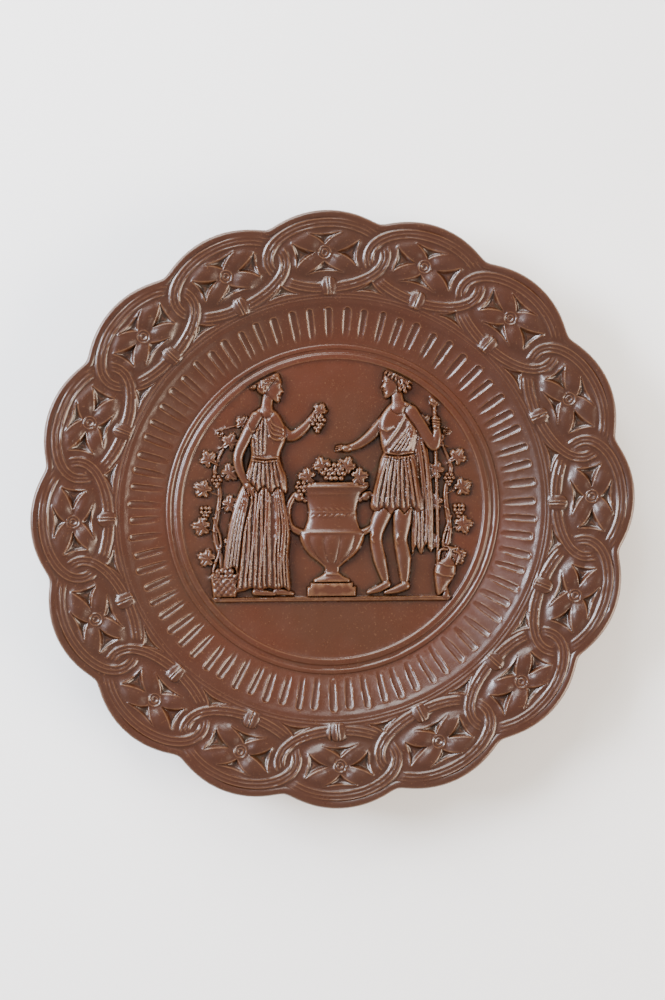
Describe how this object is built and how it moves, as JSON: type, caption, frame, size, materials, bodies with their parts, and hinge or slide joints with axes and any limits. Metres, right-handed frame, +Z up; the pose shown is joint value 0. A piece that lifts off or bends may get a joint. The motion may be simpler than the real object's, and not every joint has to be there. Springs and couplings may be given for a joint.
{
  "type": "decorative wall plate",
  "caption": "Round scalloped stoneware wall plate with a rim of interlaced links, a fluted slope and a low relief scene, hung on a wall.",
  "frame": {"origin": "on the flat face of the foot ring, at the top of the ring, where the plate hangs on the wall", "axes": "+Z up, the front faces -Y, the wall lies at Y = 0 with the foot ring's flat face on it"},
  "size_m": [0.3214, 0.0288, 0.3185],
  "materials": {
    "glazed_stoneware": "brown salt glaze, glossy, lighter on raised edges and darker in the hollows"
  },
  "bodies": {
    "root": {"plate": "glazed_stoneware"}
  },
  "joints": []
}
